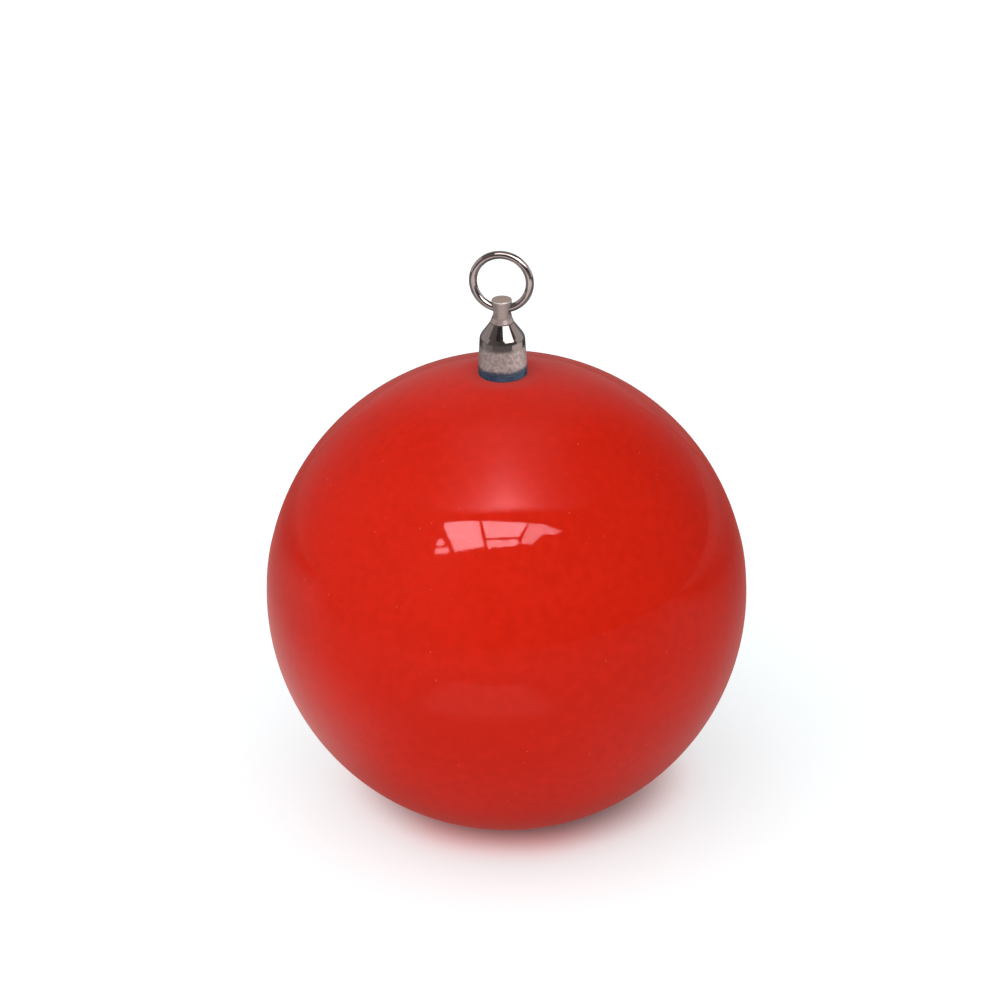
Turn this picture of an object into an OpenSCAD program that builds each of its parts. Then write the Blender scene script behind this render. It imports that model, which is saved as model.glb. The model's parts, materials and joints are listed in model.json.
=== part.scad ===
// Tetherball with its swivel fitting and hanging ring.
// Millimetres, +Z up. The origin is the centre of the hanging ring, which stands in the XZ plane.
// The ball hangs below it: ring, eye post, bell housing with a thrust bearing inside, seal, hollow ball.

/* [Ring] */
// Diameter of the ring, measured between wire centres
ring_mean_d = 24.2; // [23:0.1:26]
// Diameter of the ring's wire
ring_wire_d = 3.4; // [3:0.1:3.5]

/* [Ball] */
// Outside diameter of the ball
ball_d = 210; // [190:1:230]
// Thickness of the ball's wall
ball_wall = 2.6; // [2.4:0.1:4]
// Depth of the flat land round the neck below the ball's full round
land_depth = 1.2; // [0.8:0.1:1.6]

/* [Eye post] */
// Radius of the post at its flat top
post_r = 4.3; // [4.2:0.1:4.6]
// Radius of the flared foot
post_foot_r = 4.95; // [4.6:0.05:5]
// Radius of the shaft inside the housing
shaft_r = 2.5; // [2.4:0.1:2.5]
// Height of the post's top above the middle of its eye
post_above_eye = 4.75; // [4.5:0.05:5.5]
// Height of the eye's middle above the housing's flat top
eye_above_housing = 5.55; // [5.5:0.05:6]

/* [Swivel housing] */
// Radius of the housing at its rim
housing_rim_r = 10.45; // [10.2:0.05:11]
// Radius where the side would meet the cone
housing_shoulder_r = 9.6; // [9.4:0.05:9.8]
// Radius of the flat top
housing_top_r = 5.05; // [5:0.05:5.4]
// Height of the flat top above the ball's land
housing_top = 23.5; // [23.5:0.1:24]
// Height of the shoulder above the ball's land
housing_shoulder = 17.25; // [17:0.05:17.4]
// Thickness of the seal between housing and ball
seal_h = 2.6; // [2.2:0.1:2.8]

/* [Thrust bearing] */
// Radius of each bearing ball
bearing_ball_r = 1; // [0.9:0.05:1.05]
// Number of bearing balls
bearing_ball_count = 10; // [6:1:10]
// Radius of the circle that the bearing balls run on
bearing_pitch_r = 4.9; // [4.8:0.05:5]

/* [Neck and valve] */
// Nominal radius of the stud's thread
stud_r = 4; // [3:0.1:4]
// Radius of the anchor plate moulded into the neck
anchor_r = 15; // [13:0.5:17]
// Radius of the valve's needle well
needle_r = 1; // [0.9:0.05:1.2]
// Depth of the needle well
needle_depth = 9; // [7:0.5:9.5]

/* [Hidden] */

$fn = 96;
BALL_FN = 180;
ARC_STEPS = 8; // straight steps in each rounded corner of an outline
CUT = 1; // how far a cutting shape runs past the face that it cuts

// Colours
STEEL = "silver";
DARK_STEEL = "dimgray";
BRONZE = "peru";
BRASS = "goldenrod";
NAVY = "midnightblue";
RED = "crimson";
BLACK = "black";

// The eye: the ring's wire bears on the top of a hole with belled mouths
wire_r = ring_wire_d / 2;
eye_play = 0.5;
eye_r = wire_r + eye_play;
eye_bell_r = 10;
eye_mouth_r = 3.4;
bearing_gap = 0.05;

// Heights in the part's frame
z_hinge = -ring_mean_d / 2;
z_eye = z_hinge - (eye_play - bearing_gap);
z_land = z_eye - eye_above_housing - housing_top;
ball_r = ball_d / 2;
z_ball = z_land + land_depth - ball_r;
z_bottom = z_ball - ball_r;

// Eye post, as heights above the land
eye_h = z_eye - z_land;
post_gap = 0.15; // running gap between the post's foot and the housing
foot_h = housing_top + post_gap;
foot_edge = 0.35;
foot_round = 0.12;
flare_h = 2.35;
flare_round = 2.5;
waist_r = 4.15;
post_top = eye_h + post_above_eye;
post_top_round = 0.35;
shaft_end = 9;
shaft_end_round = 0.4;
groove_h = 20.05;
groove_w = 0.9;
oring_r = 0.4;
oring_proud = 0.02;
groove_floor_r = shaft_r - 2 * oring_r + oring_proud;
pin_h = 10.4;
pin_r = 0.55;
pin_hole_r = 0.6;

// Housing, as heights above the land
housing_edge_round = 0.2;
shoulder_round = 5;
housing_neck_r = 3.5;
bush_flange_r = 4.2;
bush_flange_h = 0.7;
bush_play = 0.05;
race_seat = 18.2;
cavity_r = 7.3;
plug_r = 8.3;
plug_step = 9;
gasket_h = 0.8;
plug_top = plug_step - gasket_h;

// Thrust bearing, stacked down from the housing's inner seat
race_t = 1.3;
race_play = 0.4; // gap beside the edge of a race that turns past the next piece
cage_play = 0.6;
track_depth = 0.3;
ball_play = 0.02;
track_play = 0.03;
track_r = bearing_ball_r + track_play;
race_to_ball = bearing_ball_r - track_depth + ball_play;
upper_face = race_seat - race_t;
bearing_h = upper_face - race_to_ball;
lower_face = bearing_h - race_to_ball;
lower_back = lower_face - race_t;
washer_t = 0.8;
washer_r = 5.2;
nut_top = lower_back - washer_t;
nut_h = 3.6;
nut_bottom = nut_top - nut_h;
nut_flat = 4; // from the axis to each flat
slot_w = 1.3;
slot_play = 0.15;
slot_depth = pin_h + pin_r + slot_play - nut_bottom;

// Neck of the ball, as depths below the land
insert_r = 6;
insert_depth = 14;
insert_flange_r = 9;
insert_flange_t = 1.6;
stud_above = 4.4;
stud_below = 11;
stud_hole_depth = 11.4;
anchor_t = 1.5;
anchor_holes = 6;
anchor_hole_r = 1.8;
anchor_hole_pcr = 10.5;
boss_r = 19;
boss_depth = 17;

// Valve, as heights above the ball's lowest point
seat_r = 5.5;
seat_top = 13.5;
seat_lip_r = 7.5;
seat_lip_h = 1.5;
seat_recess = 0.4;
plug_stem_r = 2.6;
plug_head_r = 3.4;
plug_head_h = 1;
plug_stem_top = 11.5;
seat_top_round = 0.5;
valve_boss_r = 11;
valve_boss_h = seat_top - seat_lip_h;

function unit(v) = v / norm(v);
function xy(p) = [p[0], p[1]];

// One corner of an outline, rounded with the radius in p[2]
function corner(before, p, after) =
    p[2] == 0
        ? [xy(p)]
        : let (
              a = unit(xy(before) - xy(p)),
              b = unit(xy(after) - xy(p)),
              half = acos(a * b) / 2,
              centre = xy(p) + unit(a + b) * p[2] / sin(half),
              from = xy(p) + a * p[2] / tan(half) - centre,
              to = xy(p) + b * p[2] / tan(half) - centre,
              start = atan2(from[1], from[0]),
              turn = atan2(to[1], to[0]) - start,
              sweep = turn > 180 ? turn - 360 : turn < -180 ? turn + 360 : turn
          ) [
              for (i = [0:ARC_STEPS])
                  let (angle = start + sweep * i / ARC_STEPS) centre + p[2] * [cos(angle), sin(angle)]
          ];

// An outline of [radius, height, corner radius] points with its corners rounded
function rounded(p) = [
    for (i = [0:len(p) - 1]) each corner(p[(i + len(p) - 1) % len(p)], p[i], p[(i + 1) % len(p)])
];

module turned(outline) {
    rotate_extrude() polygon(rounded(outline));
}

module tube(r_out, r_in, bottom, top) {
    translate([0, 0, bottom]) difference() {
        cylinder(r = r_out, h = top - bottom);
        translate([0, 0, -CUT]) cylinder(r = r_in, h = top - bottom + 2 * CUT);
    }
}

module above_land() {
    translate([0, 0, z_land]) children();
}

module above_bottom() {
    translate([0, 0, z_bottom]) children();
}

module torus(mean_r, section_r) {
    rotate_extrude() translate([mean_r, 0]) circle(r = section_r);
}

// Cutter for the post's eye: a hole along X whose walls curve outwards to both mouths
module eye_cutter() {
    rotate([0, 90, 0]) difference() {
        cylinder(r = eye_mouth_r, h = 2 * post_foot_r, center = true);
        torus(eye_r + eye_bell_r, eye_bell_r);
    }
}

module ring() {
    color(STEEL) rotate([90, 0, 0]) torus(ring_mean_d / 2, wire_r);
}

module eye_post() {
    color(STEEL) above_land() difference() {
        turned([
            [0, shaft_end, 0],
            [shaft_r, shaft_end, shaft_end_round],
            [shaft_r, groove_h, 0],
            [groove_floor_r, groove_h, 0],
            [groove_floor_r, groove_h + groove_w, 0],
            [shaft_r, groove_h + groove_w, 0],
            [shaft_r, foot_h, 0],
            [post_foot_r, foot_h, foot_round],
            [post_foot_r, foot_h + foot_edge, foot_round],
            [waist_r, foot_h + flare_h, flare_round],
            [post_r, post_top, post_top_round],
            [0, post_top, 0],
        ]);
        translate([0, 0, eye_h]) eye_cutter();
        translate([0, 0, pin_h]) rotate([90, 0, 0])
            cylinder(r = pin_hole_r, h = 4 * shaft_r, center = true);
    }
}

module shaft_oring() {
    color(BLACK) above_land()
        translate([0, 0, groove_h + groove_w / 2]) torus(groove_floor_r + oring_r, oring_r);
}

module lower_race() {
    color(STEEL) above_land() difference() {
        tube(cavity_r - race_play, shaft_r, lower_back, lower_face);
        translate([0, 0, bearing_h]) torus(bearing_pitch_r, track_r);
    }
}

module upper_race() {
    color(STEEL) above_land() difference() {
        tube(cavity_r, shaft_r + race_play, upper_face, race_seat);
        translate([0, 0, bearing_h]) torus(bearing_pitch_r, track_r);
    }
}

module at_each_bearing_ball() {
    for (i = [0:bearing_ball_count - 1])
        rotate([0, 0, i * 360 / bearing_ball_count]) translate([bearing_pitch_r, 0, bearing_h]) children();
}

module bearing_balls() {
    color(STEEL) above_land() at_each_bearing_ball() sphere(r = bearing_ball_r);
}

module bearing_cage() {
    cage_t = 1;
    pocket_play = 0.04;
    pocket_r = bearing_ball_r + pocket_play;
    color(BRASS) above_land() difference() {
        tube(cavity_r - cage_play, shaft_r + cage_play, bearing_h - cage_t / 2, bearing_h + cage_t / 2);
        at_each_bearing_ball() cylinder(r = pocket_r, h = 2 * cage_t, center = true);
    }
}

module spacer_washer() {
    color(DARK_STEEL) above_land() tube(washer_r, shaft_r, nut_top, lower_back);
}

module castle_nut() {
    corner_r = nut_flat / cos(30);
    chamfer = 0.4;
    color(DARK_STEEL) above_land() difference() {
        intersection() {
            translate([0, 0, nut_bottom]) cylinder(r = corner_r, h = nut_h, $fn = 6);
            turned([
                [0, nut_bottom, 0],
                [nut_flat, nut_bottom, 0],
                [corner_r, nut_bottom + chamfer, 0],
                [corner_r, nut_top, 0],
                [0, nut_top, 0],
            ]);
        }
        translate([0, 0, nut_bottom - CUT]) cylinder(r = shaft_r, h = nut_h + 2 * CUT);
        for (side = [0:2])
            rotate([0, 0, side * 60])
                translate([-slot_w / 2, -2 * nut_flat, nut_bottom - CUT])
                    cube([slot_w, 4 * nut_flat, slot_depth + CUT]);
    }
}

// Split pin through the nut's slots, with one leg bent up and one bent down along the nut's flat
module split_pin() {
    loop_r = 0.85;
    loop_wire_r = 0.35;
    leg_y = nut_flat + 0.5;
    leg_r = 0.38;
    leg_up = 2;
    leg_down = 0.9;
    color(STEEL) above_land() translate([0, 0, pin_h]) union() {
        translate([0, leg_y, 0]) rotate([90, 0, 0]) cylinder(r = pin_r, h = 2 * leg_y);
        translate([0, -leg_y - loop_r, 0]) rotate([0, 90, 0]) torus(loop_r, loop_wire_r);
        translate([0, leg_y, -leg_down]) cylinder(r = leg_r, h = leg_down + leg_up);
    }
}

module neck_bush() {
    color(BRONZE) above_land() difference() {
        union() {
            translate([0, 0, race_seat]) cylinder(r = housing_neck_r, h = housing_top - race_seat);
            translate([0, 0, housing_top - bush_flange_h]) cylinder(r = bush_flange_r, h = bush_flange_h);
        }
        translate([0, 0, race_seat - CUT])
            cylinder(r = shaft_r + bush_play, h = housing_top - race_seat + 2 * CUT);
    }
}

module swivel_housing() {
    color(STEEL) above_land() turned([
        [plug_r, seal_h, 0],
        [housing_rim_r, seal_h, housing_edge_round],
        [housing_shoulder_r, housing_shoulder, shoulder_round],
        [housing_top_r, housing_top, housing_edge_round],
        [bush_flange_r, housing_top, 0],
        [bush_flange_r, housing_top - bush_flange_h, 0],
        [housing_neck_r, housing_top - bush_flange_h, 0],
        [housing_neck_r, race_seat, 0],
        [cavity_r, race_seat, 0],
        [cavity_r, plug_step, 0],
        [plug_r, plug_step, 0],
    ]);
}

module plug_gasket() {
    color(BLACK) above_land() tube(plug_r, cavity_r, plug_top, plug_step);
}

// Plug that closes the housing, with a blind hole for the stud and two holes for a pin spanner
module base_plug() {
    spanner_r = 1;
    spanner_depth = 2;
    spanner_x = 6.2;
    color(DARK_STEEL) above_land() difference() {
        translate([0, 0, seal_h]) cylinder(r = plug_r, h = plug_top - seal_h);
        translate([0, 0, seal_h - CUT]) cylinder(r = stud_r, h = stud_above + CUT);
        for (side = [-1, 1])
            translate([side * spanner_x, 0, seal_h - CUT]) cylinder(r = spanner_r, h = spanner_depth + CUT);
    }
}

module mounting_stud() {
    stud_top = seal_h + stud_above;
    chamfer = 0.6;
    color(DARK_STEEL) above_land() turned([
        [0, -stud_below, 0],
        [stud_r - chamfer, -stud_below, 0],
        [stud_r, -stud_below + chamfer, 0],
        [stud_r, stud_top - chamfer, 0],
        [stud_r - chamfer, stud_top, 0],
        [0, stud_top, 0],
    ]);
}

module seal_washer() {
    seal_bore_r = stud_r + 0.2;
    seal_r = housing_rim_r - 0.05;
    seal_taper = 0.05;
    seal_round = 0.25;
    color(NAVY) above_land() turned([
        [seal_bore_r, 0, 0],
        [seal_r - seal_taper, 0, seal_round],
        [seal_r, seal_h, seal_round],
        [seal_bore_r, seal_h, 0],
    ]);
}

// Blind threaded insert moulded into the neck, with two grooves that grip the wall
module neck_insert() {
    grip_r = insert_r - 0.5;
    grip_h = 1.6;
    grip_bottoms = [-8, -4.4];
    color(BRASS) above_land() turned([
        [0, -insert_depth, 0],
        [insert_flange_r, -insert_depth, 0],
        [insert_flange_r, -insert_depth + insert_flange_t, 0],
        [insert_r, -insert_depth + insert_flange_t, 0],
        for (bottom = grip_bottoms) each [
            [insert_r, bottom, 0],
            [grip_r, bottom, 0],
            [grip_r, bottom + grip_h, 0],
            [insert_r, bottom + grip_h, 0],
        ],
        [insert_r, 0, 0],
        [stud_r, 0, 0],
        [stud_r, -stud_hole_depth, 0],
        [0, -stud_hole_depth, 0],
    ]);
}

module anchor_plate() {
    plate_bottom = -insert_depth + insert_flange_t;
    color(DARK_STEEL) above_land() difference() {
        tube(anchor_r, insert_r, plate_bottom, plate_bottom + anchor_t);
        for (i = [0:anchor_holes - 1])
            rotate([0, 0, i * 360 / anchor_holes])
                translate([anchor_hole_pcr, 0, plate_bottom - CUT])
                    cylinder(r = anchor_hole_r, h = anchor_t + 2 * CUT);
    }
}

// Space in the neck that the insert, the anchor plate and the stud's hole take up
module neck_space() {
    neck_insert();
    anchor_plate();
    above_land() translate([0, 0, -insert_depth + CUT]) cylinder(r = stud_r + CUT, h = insert_depth + CUT);
}

module ball_shell() {
    color(RED) difference() {
        union() {
            translate([0, 0, z_ball]) difference() {
                sphere(r = ball_r, $fn = BALL_FN);
                sphere(r = ball_r - ball_wall, $fn = BALL_FN);
            }
            intersection() {
                translate([0, 0, z_ball]) sphere(r = ball_r - ball_wall / 2, $fn = BALL_FN);
                union() {
                    translate([0, 0, z_land - boss_depth]) cylinder(r = boss_r, h = 2 * boss_depth);
                    translate([0, 0, z_bottom - CUT]) cylinder(r = valve_boss_r, h = valve_boss_h + CUT);
                }
            }
        }
        above_land() cylinder(r = boss_r + 2 * CUT, h = ball_wall);
        neck_space();
        above_bottom() translate([0, 0, -CUT]) cylinder(r = seat_r, h = valve_boss_h + 2 * CUT);
    }
}

// Rubber seat bonded into the ball's wall: it holds the valve plug and grips the boss from inside
module valve_seat() {
    color(RED) above_bottom() turned([
        [plug_head_r, seat_recess, 0],
        [seat_r, seat_recess, 0],
        [seat_r, valve_boss_h, 0],
        [seat_lip_r, valve_boss_h, 0],
        [seat_lip_r, seat_top, seat_top_round],
        [plug_stem_r, seat_top, 0],
        [plug_stem_r, seat_recess + plug_head_h, 0],
        [plug_head_r, seat_recess + plug_head_h, 0],
    ]);
}

// Self-sealing plug with the blind well that an inflation needle goes into
module valve_plug() {
    color(BLACK) above_bottom() difference() {
        turned([
            [0, seat_recess, 0],
            [plug_head_r, seat_recess, 0],
            [plug_head_r, seat_recess + plug_head_h, 0],
            [plug_stem_r, seat_recess + plug_head_h, 0],
            [plug_stem_r, plug_stem_top, seat_top_round],
            [0, plug_stem_top, 0],
        ]);
        translate([0, 0, seat_recess - CUT]) cylinder(r = needle_r, h = needle_depth + CUT);
    }
}

ring();
eye_post();
shaft_oring();
lower_race();
spacer_washer();
castle_nut();
split_pin();
bearing_cage();
bearing_balls();
upper_race();
neck_bush();
swivel_housing();
plug_gasket();
base_plug();
mounting_stud();
seal_washer();
neck_insert();
anchor_plate();
ball_shell();
valve_seat();
valve_plug();
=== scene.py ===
"""Looks of the tetherball: glossy vinyl ball, metal swivel fitting and polished ring.

Lengths are in metres, in the CAD model's frame.
"""

import json
import math

import bmesh
import bpy
from mathutils import Matrix, Vector

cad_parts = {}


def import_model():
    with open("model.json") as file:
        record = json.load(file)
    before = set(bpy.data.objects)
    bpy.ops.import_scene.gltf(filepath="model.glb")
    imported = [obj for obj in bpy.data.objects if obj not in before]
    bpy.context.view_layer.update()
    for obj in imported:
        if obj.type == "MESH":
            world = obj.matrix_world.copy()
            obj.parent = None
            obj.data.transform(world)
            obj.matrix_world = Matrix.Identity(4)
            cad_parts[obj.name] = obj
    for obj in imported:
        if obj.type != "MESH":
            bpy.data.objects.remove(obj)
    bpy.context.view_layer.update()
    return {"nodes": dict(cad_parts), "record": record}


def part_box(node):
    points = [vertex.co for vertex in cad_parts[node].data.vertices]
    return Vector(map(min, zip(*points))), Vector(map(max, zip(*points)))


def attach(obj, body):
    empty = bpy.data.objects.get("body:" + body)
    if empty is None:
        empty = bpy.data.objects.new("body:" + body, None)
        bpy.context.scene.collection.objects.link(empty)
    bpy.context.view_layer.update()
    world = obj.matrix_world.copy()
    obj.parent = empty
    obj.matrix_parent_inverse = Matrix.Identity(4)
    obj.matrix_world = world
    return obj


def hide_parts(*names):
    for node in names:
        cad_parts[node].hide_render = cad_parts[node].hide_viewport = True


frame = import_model()

MM = 0.001


# ---------------------------------------------------------------- places, from the frame
BALL_R = 105 * MM
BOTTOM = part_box("ball_shell")[0][2]
BALL_Z = BOTTOM + BALL_R
BALL_CENTRE = Vector((0, 0, BALL_Z))
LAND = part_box("seal_washer")[0][2]
HOUSING_LOW, HOUSING_HIGH = (corner[2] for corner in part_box("swivel_housing"))
POST_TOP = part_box("eye_post")[1][2]

# The view: azimuth turns the camera towards +X, elevation lifts it
VIEW_AZIMUTH = math.radians(10)
VIEW_ELEVATION = math.radians(27.4)
VIEW_DISTANCE = 1.4
VIEW_ROLL = math.radians(-1.0)
LENS = 114.8
SENSOR_WIDTH = 36
AIM_ABOVE = 39.4 * MM
AIM_LEFT = 2.2 * MM


# ---------------------------------------------------------------- node helpers
def connect(tree, socket, value):
    """Sets a socket to a plain value, or links another node's output to it."""
    if isinstance(value, bpy.types.NodeSocket):
        tree.links.new(value, socket)
    else:
        socket.default_value = value


def node(tree, kind, inputs=None, **settings):
    made = tree.nodes.new(kind)
    for name, value in settings.items():
        setattr(made, name, value)
    for name, value in (inputs or {}).items():
        connect(tree, made.inputs[name], value)
    return made


def maths(tree, operation, a, b=0.0, c=0.0):
    return node(tree, "ShaderNodeMath", {0: a, 1: b, 2: c}, operation=operation).outputs[0]


def ramp(tree, value, low, high, to_low=0.0, to_high=1.0):
    """A smooth step of value from low to high."""
    made = node(
        tree,
        "ShaderNodeMapRange",
        {"Value": value, "From Min": low, "From Max": high, "To Min": to_low, "To Max": to_high},
        interpolation_type="SMOOTHSTEP",
    )
    return made.outputs["Result"]


def noise(tree, vector, scale, detail=2.0, roughness=0.5):
    made = node(
        tree,
        "ShaderNodeTexNoise",
        {"Vector": vector, "Scale": scale, "Detail": detail, "Roughness": roughness},
    )
    return made.outputs["Fac"]


def bump(tree, height, distance, strength, normal=None):
    """A bumped normal, on top of another bump's where one is given."""
    settings = {"Height": height, "Distance": distance, "Strength": strength}
    made = node(tree, "ShaderNodeBump", settings)
    if normal is not None:
        tree.links.new(normal, made.inputs["Normal"])
    return made.outputs["Normal"]


def mix_colour(tree, factor, a, b):
    made = node(tree, "ShaderNodeMix", data_type="RGBA")
    connect(tree, made.inputs[0], factor)
    connect(tree, made.inputs[6], a)
    connect(tree, made.inputs[7], b)
    return made.outputs[2]


def product(tree, a, b):
    return maths(tree, "MULTIPLY", a, b)


def part_of(tree, vector, axis):
    return node(tree, "ShaderNodeSeparateXYZ", {0: vector}).outputs[axis]


def dot_product(tree, a, b):
    made = node(tree, "ShaderNodeVectorMath", {0: a, 1: b}, operation="DOT_PRODUCT")
    return made.outputs["Value"]


def rgba(r, g, b):
    return (r, g, b, 1.0)


def surface(name):
    """A new material: itself, its tree, its shader and coordinates in the object's own frame."""
    made = bpy.data.materials.new(name)
    made.use_nodes = True
    tree = made.node_tree
    shader = tree.nodes["Principled BSDF"]
    place = node(tree, "ShaderNodeTexCoord").outputs["Object"]
    return made, tree, shader, place


# ---------------------------------------------------------------- materials
# Uneven gloss, as a factor on a material's roughness
LEAST_ROUGH = 0.8
MOST_ROUGH = 1.3
# Heights where the looks of the housing and of the post change
POLISHED_FROM = LAND + 12.3 * MM
POLISHED_AT = LAND + 14.1 * MM
GLOSSY_AT = LAND + 15.6 * MM
STAIN_FULL = LAND + 4.6 * MM
STAIN_END = LAND + 6.6 * MM
# Heights of the near-white band round the post's rim: a painted highlight along the top edge
RIM_FROM = POST_TOP - 0.75 * MM
RIM_AT = POST_TOP - 0.5 * MM
# Heights where the flat top of the post turns brown: a painted reflection, not the steel's own
# colour
BROWN_FROM = POST_TOP - 0.3 * MM
BROWN_AT = POST_TOP - 0.1 * MM


def red_vinyl():
    """Glossy red with faint clouds, sparse dust, a soft unevenness and a little orange peel."""
    made, tree, shader, place = surface("red_vinyl")
    broad = noise(tree, place, 14, 2)
    clouds = maths(tree, "MULTIPLY_ADD", noise(tree, place, 240, 3), 0.5, product(tree, broad, 0.5))
    peel = noise(tree, place, 420, 2)
    specks = noise(tree, place, 900, 0)
    cloudy = mix_colour(
        tree,
        ramp(tree, clouds, 0.38, 0.62),
        rgba(0.745, 0.0152, 0.0032),
        rgba(0.815, 0.0176, 0.0042),
    )
    dust = ramp(tree, specks, 0.86, 0.9)
    dusty = mix_colour(tree, dust, cloudy, rgba(0.82, 0.14, 0.1))
    connect(tree, shader.inputs["Base Color"], dusty)
    smears = noise(tree, place, 60, 3)
    connect(tree, shader.inputs["Roughness"], ramp(tree, smears, 0.3, 0.75, 0.03, 0.06))
    shader.inputs["IOR"].default_value = 1.5
    shader.inputs["Sheen Weight"].default_value = 0.9
    shader.inputs["Sheen Roughness"].default_value = 0.3
    shader.inputs["Sheen Tint"].default_value = rgba(1.0, 0.13, 0.10)
    soft = bump(tree, broad, 2.2 * MM, 0.35)
    connect(tree, shader.inputs["Normal"], bump(tree, peel, 0.02 * MM, 0.5, soft))
    return made


def metal(name, colour, dark, roughness, grain_scale, grain_depth, metallic=1.0):
    """Plain metal with a fine grain, patchy tone and uneven gloss."""
    made, tree, shader, place = surface(name)
    patches = noise(tree, place, 260, 4, 0.6)
    tone = mix_colour(tree, ramp(tree, patches, 0.3, 0.7), rgba(*dark), rgba(*colour))
    connect(tree, shader.inputs["Base Color"], tone)
    uneven = ramp(tree, patches, 0.25, 0.8, roughness * LEAST_ROUGH, roughness * MOST_ROUGH)
    connect(tree, shader.inputs["Roughness"], uneven)
    shader.inputs["Metallic"].default_value = metallic
    grain = noise(tree, place, grain_scale, 3)
    connect(tree, shader.inputs["Normal"], bump(tree, grain, grain_depth, 0.5))
    return made


def post_metal():
    """Satin steel with a near-white band round the rim, a painted highlight, and a flat top painted
    brown as a painted reflection.
    """
    # The pink warmth of these greys is a painted reflection of the red ball; the grey is the
    # steel's own
    tone, dark = (0.43, 0.335, 0.31), (0.37, 0.29, 0.27)
    made = metal("post_steel", tone, dark, 0.26, 1400, 0.03 * MM, metallic=0.6)
    tree = made.node_tree
    shader = tree.nodes["Principled BSDF"]
    plain = shader.inputs["Base Color"].links[0].from_socket
    height = part_of(tree, tree.nodes["Texture Coordinate"].outputs["Object"], "Z")
    on_top = ramp(tree, height, BROWN_FROM, BROWN_AT)
    # The near-white band round the rim is a painted highlight, not wear
    on_rim_highlight = ramp(tree, height, RIM_FROM, RIM_AT)
    rim_painted_highlight = mix_colour(tree, on_rim_highlight, plain, rgba(0.95, 0.86, 0.82))
    # Brown on the flat top is a painted reflection of what the top face shows
    with_top_painted_reflection = mix_colour(tree, on_top, rim_painted_highlight, rgba(0.41, 0.30, 0.25))
    connect(tree, shader.inputs["Base Color"], with_top_painted_reflection)
    return made


def housing_metal():
    """Cast below, with flecks and a blue-grey stain over the seal, and polished on the cone."""
    made, tree, shader, place = surface("housing_metal")
    height = part_of(tree, place, "Z")
    polished = ramp(tree, height, POLISHED_FROM, POLISHED_AT)
    cast = noise(tree, place, 700, 4, 0.65)
    flecks = ramp(tree, noise(tree, place, 1500, 2), 0.66, 0.74)
    # The pink warmth of the cast greys is a painted reflection of the red ball; the grey is the
    # metal's own
    tone = mix_colour(
        tree,
        ramp(tree, cast, 0.34, 0.66),
        rgba(0.37, 0.295, 0.275),
        rgba(0.60, 0.485, 0.465),
    )
    flecked = mix_colour(tree, flecks, tone, rgba(0.9, 0.86, 0.83))
    uneven = maths(tree, "MULTIPLY_ADD", noise(tree, place, 300, 2), 2.4 * MM, height)
    stain = ramp(tree, uneven, STAIN_FULL, STAIN_END, 0.92, 0.0)
    stained = mix_colour(tree, stain, flecked, rgba(0.040, 0.066, 0.115))
    # The cone's pinkish grey is partly the metal's own and partly a painted reflection of the red
    # ball
    colour = mix_colour(tree, polished, stained, rgba(0.42, 0.34, 0.32))
    connect(tree, shader.inputs["Base Color"], colour)
    roughness_left = ramp(tree, height, POLISHED_FROM, GLOSSY_AT, 1.0, 0.18)
    rough = product(tree, ramp(tree, cast, 0.3, 0.7, 0.36, 0.5), roughness_left)
    connect(tree, shader.inputs["Roughness"], rough)
    connect(tree, shader.inputs["Metallic"], maths(tree, "MULTIPLY_ADD", polished, 0.45, 0.52))
    depth_left = maths(tree, "MULTIPLY_ADD", polished, -0.95, 1.0)
    pits = bump(tree, product(tree, cast, depth_left), 0.25 * MM, 0.6)
    connect(tree, shader.inputs["Normal"], pits)
    return made


def rubber(name, colour, roughness):
    """Moulded rubber with a fine grain, paler on the grain's high points."""
    made, tree, shader, place = surface(name)
    grain = noise(tree, place, 900, 3)
    pale = tuple(min(1.0, c * 1.5 + 0.01) for c in colour)
    tone = mix_colour(tree, ramp(tree, grain, 0.4, 0.8), rgba(*colour), rgba(*pale))
    connect(tree, shader.inputs["Base Color"], tone)
    uneven = ramp(tree, grain, 0.2, 0.8, roughness * LEAST_ROUGH, roughness * MOST_ROUGH)
    connect(tree, shader.inputs["Roughness"], uneven)
    connect(tree, shader.inputs["Normal"], bump(tree, grain, 0.05 * MM, 0.5))
    return made


# Colour, darker tone, roughness, grain scale and grain depth
METALS = {
    # The ring's pink warmth is a painted reflection of the red ball; its grey is the steel's own
    "ring_steel": ((0.70, 0.56, 0.53), (0.56, 0.44, 0.42), 0.08, 900, 0.04 * MM),
    "bearing_steel": ((0.72, 0.72, 0.74), (0.62, 0.62, 0.64), 0.08, 900, 0.01 * MM),
    "plain_steel": ((0.50, 0.50, 0.51), (0.38, 0.38, 0.39), 0.38, 1200, 0.06 * MM),
    "cage_brass": ((0.80, 0.58, 0.24), (0.66, 0.46, 0.18), 0.3, 1200, 0.05 * MM),
    "bush_bronze": ((0.56, 0.34, 0.17), (0.42, 0.25, 0.12), 0.38, 1500, 0.08 * MM),
}
# Colour and roughness
RUBBERS = {
    "red_rubber": ((0.42, 0.016, 0.010), 0.35),
    "navy_rubber": ((0.012, 0.028, 0.060), 0.22),
    "black_rubber": ((0.012, 0.012, 0.012), 0.5),
}
MATERIALS = {
    "red_vinyl": red_vinyl(),
    "post_steel": post_metal(),
    "housing_metal": housing_metal(),
}
MATERIALS |= {name: metal(name, *look) for name, look in METALS.items()}
MATERIALS |= {name: rubber(name, *look) for name, look in RUBBERS.items()}


def dress_cad_nodes():
    slots = {row["node"]: row["material_slot"] for row in frame["record"]["subparts"]}
    for name, obj in frame["nodes"].items():
        obj.data.materials.clear()
        obj.data.materials.append(MATERIALS[slots[name]])


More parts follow.
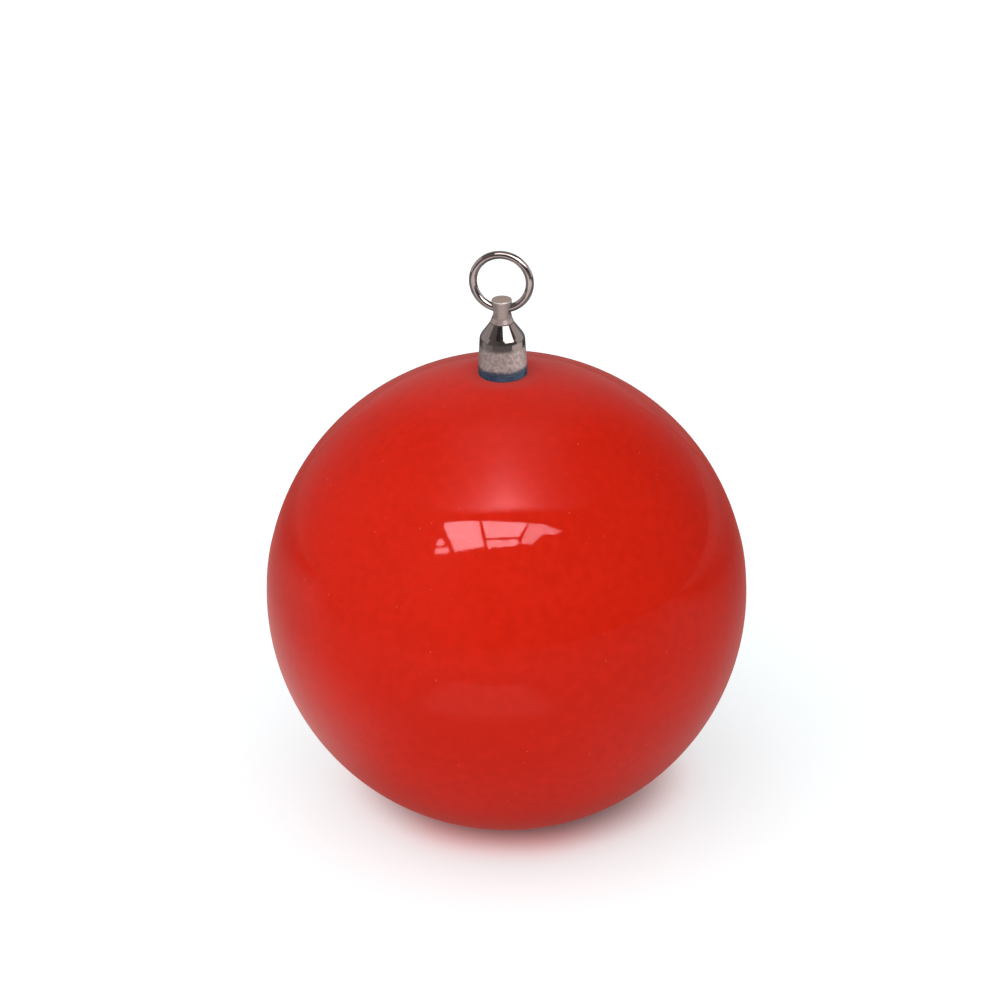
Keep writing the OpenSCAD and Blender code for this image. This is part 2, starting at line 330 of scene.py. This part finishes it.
# ---------------------------------------------------------------- the ball
# The shell's sizes are the CAD's own: depths are from the land, the valve boss's height is from
# the bottom
WALL = 2.6 * MM
INSERT_R = 6 * MM
NECK_BOSS_R = 19 * MM
NECK_BOSS_DEPTH = 17 * MM
INSERT_DEPTH = 14 * MM
INSERT_FLANGE_R = 9 * MM
ANCHOR_R = 15 * MM
ANCHOR_LOW = 12.4 * MM
ANCHOR_HIGH = 10.9 * MM
VALVE_R = 5.5 * MM
VALVE_BOSS_R = 11 * MM
VALVE_BOSS_H = 12 * MM
LAND_BLEND = 0.5 * MM
MOUTH_BEVEL = 0.2 * MM
VALVE_EDGE_R = 0.35 * MM
LAND_OUT = 25 * MM
LAND_STEPS = 44
OUTER_STEPS = 170
INNER_STEPS = 60


def smooth_min(a, b, blend):
    mix = min(1.0, max(0.0, 0.5 + 0.5 * (b - a) / blend))
    return b + (a - b) * mix - blend * mix * (1 - mix)


def outer_height(radius):
    """The outer surface over the ball's upper half: round, with a flat land round the neck."""
    return smooth_min(LAND, BALL_Z + math.sqrt(BALL_R**2 - radius**2), LAND_BLEND)


def ball_outline():
    """Half section of the shell, as (radius, height): seat, land, outside, valve, inside."""
    inner = BALL_R - WALL
    mouth = INSERT_R + MOUTH_BEVEL
    outline = [
        (0, LAND - INSERT_DEPTH),
        (INSERT_FLANGE_R, LAND - INSERT_DEPTH),
        (INSERT_FLANGE_R, LAND - ANCHOR_LOW),
        (ANCHOR_R, LAND - ANCHOR_LOW),
        (ANCHOR_R, LAND - ANCHOR_HIGH),
        (INSERT_R, LAND - ANCHOR_HIGH),
        (INSERT_R, LAND - MOUTH_BEVEL),
        (mouth, LAND),
    ]
    for i in range(1, LAND_STEPS + 1):
        radius = mouth + (LAND_OUT - INSERT_R) * i / LAND_STEPS
        outline.append((radius, outer_height(radius)))
    start = math.asin(outline[-1][0] / BALL_R)
    stop = math.pi - math.asin((VALVE_R + VALVE_EDGE_R) / BALL_R)
    for i in range(1, OUTER_STEPS + 1):
        angle = start + (stop - start) * i / OUTER_STEPS
        outline.append((BALL_R * math.sin(angle), BALL_Z + BALL_R * math.cos(angle)))
    edge = outline[-1][1]
    for angle in (30, 60, 90):
        turn = math.radians(angle)
        outline.append(
            (
                VALVE_R + VALVE_EDGE_R * (1 - math.sin(turn)),
                edge + VALVE_EDGE_R * (1 - math.cos(turn)),
            )
        )
    outline += [
        (VALVE_R, BOTTOM + VALVE_BOSS_H),
        (VALVE_BOSS_R, BOTTOM + VALVE_BOSS_H),
        (VALVE_BOSS_R, BALL_Z - math.sqrt(inner**2 - VALVE_BOSS_R**2)),
    ]
    start = math.pi - math.asin(VALVE_BOSS_R / inner)
    stop = math.asin(NECK_BOSS_R / inner)
    for i in range(1, INNER_STEPS + 1):
        angle = start + (stop - start) * i / INNER_STEPS
        outline.append((inner * math.sin(angle), BALL_Z + inner * math.cos(angle)))
    outline += [
        (NECK_BOSS_R, LAND - NECK_BOSS_DEPTH),
        (0, LAND - NECK_BOSS_DEPTH),
    ]
    return outline


SEAM_AZIMUTH = VIEW_AZIMUTH
SEAM_H = 0.16 * MM
SEAM_W = 0.45 * MM
SEAM_FROM = 45 * MM
SEAM_FULL = 85 * MM
COLUMNS = 256
# Distances of the mesh's columns from the parting line, on each side
SEAM_COLUMNS = (0, 0.25 * MM, 0.5 * MM, 0.8 * MM, 1.2 * MM)
# Degrees beside the parting line where its own columns take the place of the even ones
SEAM_CLEARS_DEG = 1.3
# The parting line rises only from the outside of the wall and outside the neck
OUTSIDE_FROM = BALL_R - 0.9 * WALL
NECK_CLEAR_R = 7 * MM
SHARP_ANGLE = math.radians(35)


def seam_rise(point):
    """Height of the parting line at a point on the outside. It fades out towards the neck."""
    across = -point.x * math.sin(SEAM_AZIMUTH) + point.y * math.cos(SEAM_AZIMUTH)
    radius = math.hypot(point.x, point.y)
    fade = min(1.0, max(0.0, (radius - SEAM_FROM) / (SEAM_FULL - SEAM_FROM)))
    return SEAM_H * fade * math.exp(-((across / SEAM_W) ** 2))


def column_angles():
    """Angles of the mesh's columns, with extra ones beside the parting line."""
    angles = {round(360 * i / COLUMNS, 4) for i in range(COLUMNS)}
    seam = math.degrees(SEAM_AZIMUTH)
    close = [math.degrees(distance / BALL_R) for distance in SEAM_COLUMNS]
    for side in (seam, seam + 180):
        near = {a for a in angles if min(abs(a - side), 360 - abs(a - side)) < SEAM_CLEARS_DEG}
        angles -= near
        for offset in close:
            angles |= {round((side + offset) % 360, 4), round((side - offset) % 360, 4)}
    return [math.radians(a) for a in sorted(angles)]


def revolve(name, outline, angles, rise):
    """A closed mesh: an outline that begins and ends on the axis, turned about Z."""
    mesh = bmesh.new()
    columns = []
    axis_points = {}
    for angle in angles:
        column = []
        for index, (radius, height) in enumerate(outline):
            if radius == 0:
                if index not in axis_points:
                    axis_points[index] = mesh.verts.new((0, 0, height))
                column.append(axis_points[index])
                continue
            point = Vector((radius * math.cos(angle), radius * math.sin(angle), height))
            out = point - BALL_CENTRE
            if out.length > OUTSIDE_FROM and radius > NECK_CLEAR_R:
                point += out.normalized() * rise(point)
            column.append(mesh.verts.new(point))
        columns.append(column)
    for c, column in enumerate(columns):
        beside = columns[(c + 1) % len(columns)]
        for i in range(len(outline) - 1):
            corners = [column[i], beside[i], beside[i + 1], column[i + 1]]
            unique = list(dict.fromkeys(corners))
            if len(unique) > 2:
                mesh.faces.new(unique)
    bmesh.ops.recalc_face_normals(mesh, faces=mesh.faces)
    data = bpy.data.meshes.new(name)
    mesh.to_mesh(data)
    mesh.free()
    data.shade_smooth()
    data.set_sharp_from_angle(angle=SHARP_ANGLE)
    made = bpy.data.objects.new(name, data)
    bpy.context.scene.collection.objects.link(made)
    return made


def ball():
    made = revolve("ball_skin", ball_outline(), column_angles(), seam_rise)
    made.data.materials.append(MATERIALS["red_vinyl"])
    made.visible_glossy = False
    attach(made, "ball")
    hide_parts("ball_shell")
    return made


# ---------------------------------------------------------------- camera, floor and light
def towards(azimuth, elevation):
    """Unit direction from the ball: azimuth 0 is -Y and turns towards +X."""
    flat = math.cos(elevation)
    return Vector((math.sin(azimuth) * flat, -math.cos(azimuth) * flat, math.sin(elevation)))


def camera():
    data = bpy.data.cameras.new("camera")
    data.lens = LENS
    data.sensor_width = SENSOR_WIDTH
    made = bpy.data.objects.new("camera", data)
    bpy.context.scene.collection.objects.link(made)
    back = towards(VIEW_AZIMUTH, VIEW_ELEVATION)
    right = Vector((math.cos(VIEW_AZIMUTH), math.sin(VIEW_AZIMUTH), 0))
    up = back.cross(right)
    made.location = BALL_CENTRE + back * VIEW_DISTANCE
    aim = BALL_CENTRE + up * AIM_ABOVE - right * AIM_LEFT
    look = (aim - made.location).to_track_quat("-Z", "Y").to_matrix()
    made.rotation_euler = (look @ Matrix.Rotation(VIEW_ROLL, 3, "Z")).to_euler()
    bpy.context.scene.camera = made


def staged(name, corners, material):
    """A flat staged sheet with a material of its own."""
    data = bpy.data.meshes.new(name)
    data.from_pydata([tuple(c) for c in corners], [], [tuple(range(len(corners)))])
    made = bpy.data.objects.new(name, data)
    bpy.context.scene.collection.objects.link(made)
    data.materials.append(material)
    return made


def level_square(half, height):
    """Corners of a level square centred on the Z axis."""
    return [(x * half, y * half, height) for x, y in ((-1, -1), (1, -1), (1, 1), (-1, 1))]


def bare_material(name):
    """A new material whose tree is empty."""
    made = bpy.data.materials.new(name)
    made.use_nodes = True
    made.node_tree.nodes.clear()
    return made, made.node_tree


def end_with(tree, shader, kind="ShaderNodeOutputMaterial"):
    end = node(tree, kind)
    tree.links.new(shader.outputs[0], end.inputs["Surface"])


def both(tree, first, second):
    """Two shaders added together."""
    made = node(tree, "ShaderNodeAddShader")
    tree.links.new(first.outputs[0], made.inputs[0])
    tree.links.new(second.outputs[0], made.inputs[1])
    return made


def either(tree, factor, at_zero, at_one):
    """One shader or the other, chosen by factor."""
    made = node(tree, "ShaderNodeMixShader", {0: factor})
    tree.links.new(at_zero.outputs[0], made.inputs[1])
    tree.links.new(at_one.outputs[0], made.inputs[2])
    return made


def towards_view(tree, way):
    """How far a direction points towards the camera's side, and how far to its right."""
    flat = (math.sin(VIEW_AZIMUTH), -math.cos(VIEW_AZIMUTH), 0)
    right = (math.cos(VIEW_AZIMUTH), math.sin(VIEW_AZIMUTH), 0)
    return [dot_product(tree, way, axis) for axis in (flat, right)]


def glow(name, light):
    """A surface that gives off an even light."""
    made, tree = bare_material(name)
    strength = max(light)
    colour = rgba(*(c / strength for c in light))
    end_with(tree, node(tree, "ShaderNodeEmission", {"Color": colour, "Strength": strength}))
    return made


def only_in_gloss(sheet):
    sheet.visible_camera = False
    sheet.visible_diffuse = False
    sheet.visible_shadow = False


def only_for(lamp, pieces):
    """Keeps a lamp's light, direct and reflected, to these pieces."""
    chosen = bpy.data.collections.new(lamp.name + "_lights")
    for piece in pieces:
        chosen.objects.link(piece)
    lamp.light_linking.receiver_collection = chosen
    lamp.light_linking.blocker_collection = chosen


WINDOW_AZIMUTH = math.radians(5)
WINDOW_ELEVATION = math.radians(54.5)
WINDOW_DISTANCE = 2.5
WINDOW_GLOW = (8.5, 5.3, 5.8)
# Panes of the window: brightness, and corners in metres on its own plane, as seen from the ball,
# x to the right and y up
PANES = {
    "left_high": (0.85, [(-1.33, -0.10), (-1.21, -0.12), (-1.13, -0.26), (-1.37, -0.26)]),
    "left_low": (0.85, [(-1.39, -0.31), (-1.07, -0.31), (-1.01, -0.43), (-1.43, -0.44)]),
    "left": (1.0, [(-1.20, 0.18), (-1.14, 0.24), (-0.38, 0.20), (-0.29, -0.35), (-0.86, -0.42)]),
    "middle_high": (1.0, [(-0.32, 0.20), (0.53, 0.20), (0.43, -0.10), (-0.23, -0.18)]),
    "middle_low": (
        0.9,
        [(-0.23, -0.23), (0.38, -0.16), (0.43, -0.25), (0.34, -0.30), (-0.20, -0.37)],
    ),
    "right": (
        0.7,
        [
            (0.57, 0.20),
            (0.92, 0.22),
            (1.21, 0.20),
            (1.16, 0.04),
            (0.91, 0.00),
            (0.68, -0.25),
            (0.46, -0.26),
        ],
    ),
    "right_end": (0.6, [(1.25, 0.19), (1.35, 0.18), (1.23, 0.07), (1.19, 0.07)]),
}


def window(pieces):
    """The window that the ball's gloss shows. The world's soft light does the lighting."""
    out = towards(WINDOW_AZIMUTH, WINDOW_ELEVATION)
    right = Vector((0, 0, 1)).cross(out).normalized()
    up = out.cross(right)
    centre = BALL_CENTRE + out * WINDOW_DISTANCE
    for name, (brightness, corners) in PANES.items():
        lamp = glow(name, [c * brightness for c in WINDOW_GLOW])
        sheet = staged(name, [centre + right * x + up * y for x, y in corners], lamp)
        only_in_gloss(sheet)
        only_for(sheet, pieces)


SKYLIGHT_ABOVE = 1.5
SKYLIGHT_HALF = 1.3
HAZE_COLOUR = rgba(2.2, 1, 1.08)
HAZE_GLOW = 2.08
HAZE_WIDTH = 0.168
# The haze is full from here towards the camera's side, and fades behind it
HAZE_FULL_FROM = 0.38
HAZE_FADING = 4.6
# Ends of the haze, as parts of a unit direction from the ball: low, at the back and at the sides
HAZE_LOW_END = (0.884, 0.914)
HAZE_LOW_BEND = 0.35
HAZE_BACK_END = (-0.5, -0.2)
HAZE_SIDE_END = (0.5, 0.75, 1.0, 0.0)


def skylight(pieces):
    """The haze over the window in the ball's gloss: a clear sheet overhead with its own glow."""
    made, tree = bare_material("skylight")
    place = node(tree, "ShaderNodeTexCoord").outputs["Object"]
    way = node(tree, "ShaderNodeVectorMath", {0: place}, operation="NORMALIZE").outputs["Vector"]
    front, right = towards_view(tree, way)
    square = product(tree, right, right)
    spread = maths(tree, "MULTIPLY_ADD", square, 1 / HAZE_WIDTH**2, 1)
    below = maths(tree, "MINIMUM", maths(tree, "SUBTRACT", front, HAZE_FULL_FROM), 0)
    lit = maths(tree, "EXPONENT", product(tree, below, HAZE_FADING))
    bent = maths(tree, "MULTIPLY_ADD", square, HAZE_LOW_BEND, part_of(tree, way, "Z"))
    lit = product(tree, lit, ramp(tree, bent, *HAZE_LOW_END))
    lit = product(tree, lit, ramp(tree, front, *HAZE_BACK_END))
    lit = product(tree, lit, ramp(tree, maths(tree, "ABSOLUTE", right), *HAZE_SIDE_END))
    bright = maths(tree, "DIVIDE", product(tree, lit, HAZE_GLOW), spread)
    glowing = node(tree, "ShaderNodeEmission", {"Color": HAZE_COLOUR, "Strength": bright})
    end_with(tree, both(tree, glowing, node(tree, "ShaderNodeBsdfTransparent")))
    sheet = staged("skylight", level_square(SKYLIGHT_HALF, SKYLIGHT_ABOVE), made)
    sheet.location = BALL_CENTRE
    only_in_gloss(sheet)
    only_for(sheet, pieces)


# Soft boxes for the metal fitting: azimuth, elevation, distance, width, height, brightness. The
# housing and seal have low ones of their own at the sides: the polished shoulder is dark in front.
SOFT_BOXES = {
    "key": (50, 40, 1.0, 0.80, 0.66, 2.9),
    "top": (5, 58, 1.0, 0.90, 0.46, 1.7),
    "low": (10, -22, 0.4, 1.0, 0.14, 0.45),
    "low_left": (-72, -25, 0.4, 0.50, 0.24, 0.10),
    "low_right": (92, -24, 0.4, 0.50, 0.24, 0.50),
    "left": (-95, 15, 1.0, 1.2, 0.7, 0.28),
    "right": (115, 15, 1.0, 1.1, 0.7, 0.42),
    "back": (190, 18, 1.0, 1.9, 0.7, 0.15),
}
AT_THE_SIDES = ("low_left", "low_right")
NOT_ON_HOUSING = ("top", "low")
# Watts of a square metre of soft box at brightness 1
WATTS_PER_AREA = 4


def soft_boxes(pieces):
    middle_of_fitting = Vector((0, 0, (HOUSING_LOW + HOUSING_HIGH) / 2))
    housing, seal = (frame["nodes"][name] for name in ("swivel_housing", "seal_washer"))
    others = [piece for piece in pieces if piece is not housing]
    for name, (azimuth, elevation, distance, width, height, brightness) in SOFT_BOXES.items():
        data = bpy.data.lights.new(name, "AREA")
        data.shape = "RECTANGLE"
        data.size = width
        data.size_y = height
        data.energy = WATTS_PER_AREA * width * height * brightness
        lamp = bpy.data.objects.new(name, data)
        bpy.context.scene.collection.objects.link(lamp)
        out = towards(math.radians(azimuth), math.radians(elevation))
        lamp.location = middle_of_fitting + out * distance
        lamp.rotation_euler = (-out).to_track_quat("-Z", "Y").to_euler()
        lamp.visible_camera = False
        if name in AT_THE_SIDES:
            only_for(lamp, [housing, seal])
        else:
            only_for(lamp, others if name in NOT_ON_HOUSING else pieces)


FLOOR_HALF = 12.0
FLOOR_COLOUR = rgba(0.8, 0.8, 0.8)
# For the camera only, the floor is lifted towards white, except in the contact shade under the ball
LIFT = 0.53
LIFT_TINT = rgba(0.88, 1.0, 1.02)
SHADE_AT = (0, 0.022, 0)
SHADE_SCALE = (0.93, 1, 1)
SHADE_END = (0.045, 0.075)
SHADE_TINT = rgba(0.88, 0.66, 0.66)
SHADE_TINT_END = (0.050, 0.085)
# The shade is redder in front of the ball
FRONT_TINT = rgba(1, 0.3, 0.3)
FRONT_ACROSS = (0.02, 0.055, 1.0, 0.0)
FRONT_ALONG = (0.01, -0.03)
# No shade where the ball has swung away: how far up to look, and how open it has to be
LOOK_UP = 0.12
LOOK_UP_SAMPLES = 8
OPEN_ABOVE = (0.75, 1.0)


def floor_seen(tree, place, to_camera):
    """The floor as the camera sees it."""
    x, y = (part_of(tree, place, axis) for axis in "XY")
    pale = node(tree, "ShaderNodeBsdfDiffuse", {"Color": FLOOR_COLOUR})
    scaled = node(tree, "ShaderNodeVectorMath", {0: place, 1: SHADE_SCALE}, operation="MULTIPLY")
    ends = {0: scaled.outputs["Vector"], 1: SHADE_AT}
    from_shade = node(tree, "ShaderNodeVectorMath", ends, operation="DISTANCE").outputs["Value"]
    looking = node(
        tree, "ShaderNodeAmbientOcclusion", {"Distance": LOOK_UP}, samples=LOOK_UP_SAMPLES
    )
    no_ball = ramp(tree, looking.outputs["AO"], *OPEN_ABOVE)
    lifted = maths(tree, "MAXIMUM", ramp(tree, from_shade, *SHADE_END), no_ball)
    bright = product(tree, product(tree, lifted, LIFT), to_camera)
    across = ramp(tree, maths(tree, "ABSOLUTE", x), *FRONT_ACROSS)
    in_front = product(tree, across, ramp(tree, y, *FRONT_ALONG))
    shade = mix_colour(tree, in_front, SHADE_TINT, FRONT_TINT)
    clear = maths(tree, "MAXIMUM", ramp(tree, from_shade, *SHADE_TINT_END), no_ball)
    tint = mix_colour(tree, clear, shade, LIFT_TINT)
    return both(tree, pale, node(tree, "ShaderNodeEmission", {"Color": tint, "Strength": bright}))


# Brightness of the floor in reflections. Each stretch: from, to, and its level at each.
FLOOR_REFLECTED = 0.18
BESIDE_ACROSS = (0.05, 0.14)
BESIDE_ALONG = (-0.25, -0.03)
BESIDE_LEVEL = (-0.1, 0.1, 0.32, 0.12)
BESIDE_FADES = (0.14, 0.4, 1.0, 0.3)
PATCH_LEVEL = 0.17
PATCH_AT = (0.01, -0.34)
PATCH_HALF = (0.12, 0.10)
PATCH_SOFTNESS = 0.25
UNDER_THE_BALL = (0.04, 0.12, 0.3, 1.0)
FAR_AWAY = (0.5, 2.0, 1.0, 0.75)
BEHIND = (0.05, 0.45, 1.0, 0.3)
FAR_BEHIND = (0.4, 1.2, 0.0, 0.11)


def floor_reflected(tree, place):
    """The floor as reflections show it: grey, lighter beside the ball and on a patch in front."""
    x, y = (part_of(tree, place, axis) for axis in "XY")
    away = node(tree, "ShaderNodeVectorMath", {0: place}, operation="LENGTH").outputs["Value"]
    across = ramp(tree, maths(tree, "ABSOLUTE", x), *BESIDE_ACROSS)
    beside = product(tree, across, ramp(tree, y, *BESIDE_ALONG))
    beside = product(tree, beside, ramp(tree, x, *BESIDE_LEVEL))
    beside = product(tree, beside, ramp(tree, away, *BESIDE_FADES))
    patch = PATCH_LEVEL
    for along, centre, half in zip((x, y), PATCH_AT, PATCH_HALF):
        off = maths(tree, "ABSOLUTE", maths(tree, "SUBTRACT", along, centre))
        inner, outer = half * (1 - PATCH_SOFTNESS), half * (1 + PATCH_SOFTNESS)
        patch = product(tree, patch, ramp(tree, off, inner, outer, 1.0, 0.0))
    level = maths(tree, "ADD", maths(tree, "ADD", beside, patch), FLOOR_REFLECTED)
    level = product(tree, level, ramp(tree, away, *UNDER_THE_BALL))
    level = product(tree, level, ramp(tree, away, *FAR_AWAY))
    level = product(tree, level, ramp(tree, y, *BEHIND))
    level = maths(tree, "ADD", level, ramp(tree, y, *FAR_BEHIND))
    return node(tree, "ShaderNodeEmission", {"Strength": level})


def floor():
    """Pale floor. Looked at directly it is nearly white. In reflections it is grey."""
    made, tree = bare_material("floor")
    path = node(tree, "ShaderNodeLightPath")
    place = node(tree, "ShaderNodeTexCoord").outputs["Object"]
    seen = floor_seen(tree, place, path.outputs["Is Camera Ray"])
    reflected = floor_reflected(tree, place)
    end_with(tree, either(tree, path.outputs["Is Glossy Ray"], seen, reflected))
    sheet = staged("floor", level_square(FLOOR_HALF, 0), made)
    sheet.location = (0, 0, BOTTOM)


WHITE = 1.05
SOFT_LIGHT = 0.27
KEY_LIGHT = 1.70
KEY_SHARPNESS = 2
KEY_AZIMUTH = math.radians(-5)
KEY_ELEVATION = math.radians(50)
# Brightness of the room in reflections. Each part: from, to, and its level at each.
ROOM = 0.08
ROOM_BEHIND = (-0.45, -1.0, 0.0, 0.11)
ROOM_LEFT = (-0.1, -0.9, 0.0, 0.09)
ROOM_ABOVE = (0.85, 1.0, 0.0, 0.15)
COLUMN_FROM = (0.1, -0.4)
COLUMN_ACROSS = (0.2, 0.55, 0.15, 0.0)


def world():
    """White where the camera sees it, soft light on things, and a dim room in reflections."""
    made = bpy.data.worlds.new("world")
    bpy.context.scene.world = made
    made.use_nodes = True
    tree = made.node_tree
    tree.nodes.clear()
    path = node(tree, "ShaderNodeLightPath")
    way = node(tree, "ShaderNodeTexCoord").outputs["Generated"]
    front, right = towards_view(tree, way)
    across = ramp(tree, maths(tree, "ABSOLUTE", right), *COLUMN_ACROSS)
    parts = [
        ramp(tree, front, *ROOM_BEHIND),
        ramp(tree, right, *ROOM_LEFT),
        ramp(tree, part_of(tree, way, "Z"), *ROOM_ABOVE),
        product(tree, ramp(tree, front, *COLUMN_FROM), across),
    ]
    room = ROOM
    for part in parts:
        room = maths(tree, "ADD", room, part)
    dim = node(tree, "ShaderNodeBackground", {"Strength": room})
    facing = dot_product(tree, way, towards(KEY_AZIMUTH, KEY_ELEVATION))
    facing = maths(tree, "POWER", maths(tree, "MAXIMUM", facing, 0), KEY_SHARPNESS)
    strength = maths(tree, "MULTIPLY_ADD", facing, KEY_LIGHT, SOFT_LIGHT)
    soft = node(tree, "ShaderNodeBackground", {"Strength": strength})
    lights = either(tree, path.outputs["Is Glossy Ray"], soft, dim)
    white = node(tree, "ShaderNodeBackground", {"Strength": WHITE})
    seen = either(tree, path.outputs["Is Camera Ray"], lights, white)
    end_with(tree, seen, "ShaderNodeOutputWorld")


# ---------------------------------------------------------------- the scene
bpy.context.scene.view_settings.view_transform = "Standard"
camera()
dress_cad_nodes()
skin = ball()
BALL_NODES = ("ball_shell", "valve_seat", "valve_plug")
fitting = [obj for name, obj in frame["nodes"].items() if name not in BALL_NODES]
for piece in fitting:
    piece.visible_glossy = False
window([skin])
skylight([skin])
soft_boxes(fitting)
floor()
world()
